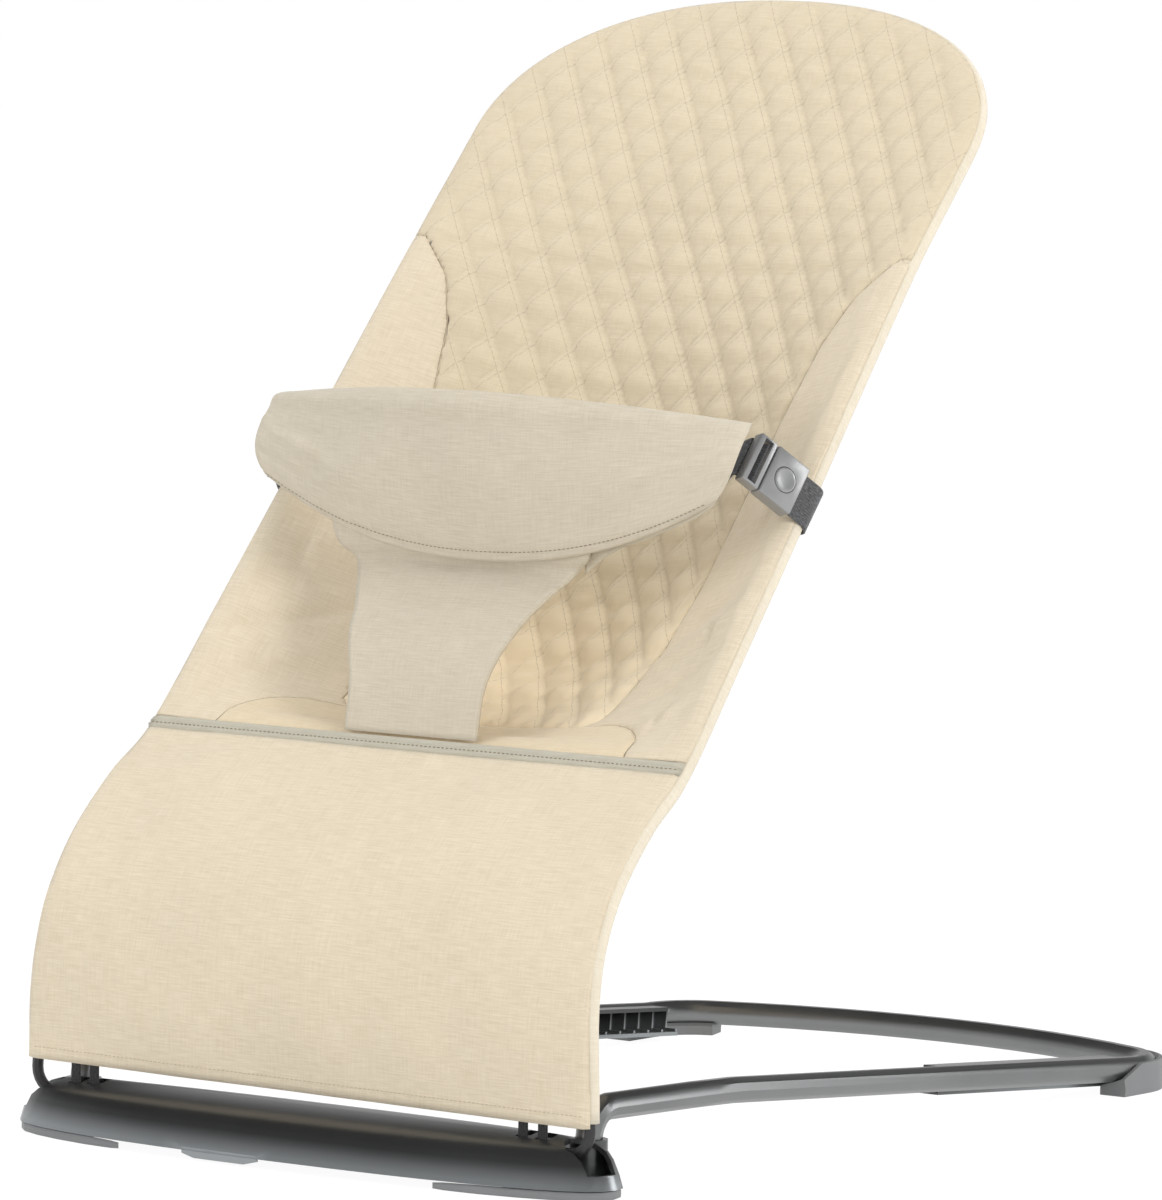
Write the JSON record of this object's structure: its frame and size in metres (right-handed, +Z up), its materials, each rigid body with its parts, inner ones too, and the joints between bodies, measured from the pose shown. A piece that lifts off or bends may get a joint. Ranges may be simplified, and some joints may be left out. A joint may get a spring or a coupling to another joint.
{
  "type": "baby bouncer",
  "caption": "Baby bouncer: a cloth sling seat on a bent wire frame, hinged at the front of a low tube base, with a buckled restraint flap.",
  "frame": {"origin": "bottom centre of the whole, on the surface that it stands on", "axes": "+Y from the feet end to the head end, +X to the right seen from the front with the feet end near, +Z up"},
  "size_m": [0.388, 0.6278, 0.5974],
  "materials": {
    "base_plastic": "fine matt grain",
    "grey_plastic": "satin",
    "foot_rubber": "matt",
    "tube_steel": "satin powder coat",
    "screw_steel": "zinc",
    "cover_cloth": "plain weave",
    "quilt_cloth": "diamond quilting",
    "band_cloth": "ribbed tape",
    "flap_cloth": "plain weave",
    "webbing": "ribbed webbing"
  },
  "bodies": {
    "base": {"front_plate": "base_plastic", "base_tube": "tube_steel", "front_foot_left": "foot_rubber", "height_rack_left": "base_plastic", "rear_foot_left": "foot_rubber", "hinge_bearing_left": "grey_plastic", "socket_screw_left": "screw_steel", "front_foot_right": "foot_rubber", "height_rack_right": "base_plastic", "rear_foot_right": "foot_rubber", "hinge_bearing_right": "grey_plastic", "socket_screw_right": "screw_steel", "bearing_screw_left_front": "screw_steel", "rack_screw_left_front": "screw_steel", "bearing_screw_left_rear": "screw_steel", "rack_screw_left_rear": "screw_steel", "bearing_screw_right_front": "screw_steel", "rack_screw_right_front": "screw_steel", "bearing_screw_right_rear": "screw_steel", "rack_screw_right_rear": "screw_steel"},
    "seat": {"seat_frame": "tube_steel", "frame_tunnel": "cover_cloth", "leg_panel": "cover_cloth", "seam_band": "band_cloth", "quilted_panel": "quilt_cloth", "pocket_front": "cover_cloth", "side_panel_left": "cover_cloth", "bow_bracket_left": "tube_steel", "side_strap_left": "webbing", "buckle_body_left": "grey_plastic", "side_panel_right": "cover_cloth", "bow_bracket_right": "tube_steel", "side_strap_right": "webbing", "buckle_body_right": "grey_plastic", "hem_strap_left_inner": "webbing", "hem_strap_left_outer": "webbing", "hem_strap_right_inner": "webbing", "hem_strap_right_outer": "webbing"},
    "bow": {"support_bow": "tube_steel", "bow_shoe_left": "foot_rubber", "bow_shoe_right": "foot_rubber"},
    "restraint": {"restraint_flap": "flap_cloth", "crotch_strap": "flap_cloth", "buckle_tongue_left": "grey_plastic", "buckle_tongue_right": "grey_plastic", "flap_webbing_left": "webbing", "flap_webbing_right": "webbing"},
    "button_left": {"buckle_button_left": "grey_plastic"},
    "button_right": {"buckle_button_right": "grey_plastic"}
  },
  "joints": [
    {"name": "seat_recline", "type": "hinge", "parent": "base", "child": "seat", "pos_m": [0, -0.28089, 0.022], "axis": [1, 0, 0], "range_deg": [-48, 0]},
    {"name": "bow_swing", "type": "hinge", "parent": "seat", "child": "bow", "pos_m": [0, -0.13547, 0.26093], "axis": [1, 0, 0], "range_deg": [-96.9, 0]},
    {"name": "restraint_fold", "type": "hinge", "parent": "seat", "child": "restraint", "pos_m": [0, -0.19547, 0.21635], "axis": [1, 0, 0], "range_deg": [0, 120]},
    {"name": "button_press_left", "type": "slide", "parent": "seat", "child": "button_left", "axis": [0.9311, 0.2818, -0.2318], "range_m": [0, 0.0015], "stiffness_N_per_m": 800, "springref_m": -0.0005},
    {"name": "button_press_right", "type": "slide", "parent": "seat", "child": "button_right", "axis": [-0.9311, 0.2818, -0.2318], "range_m": [0, 0.0015], "stiffness_N_per_m": 800, "springref_m": -0.0005}
  ]
}
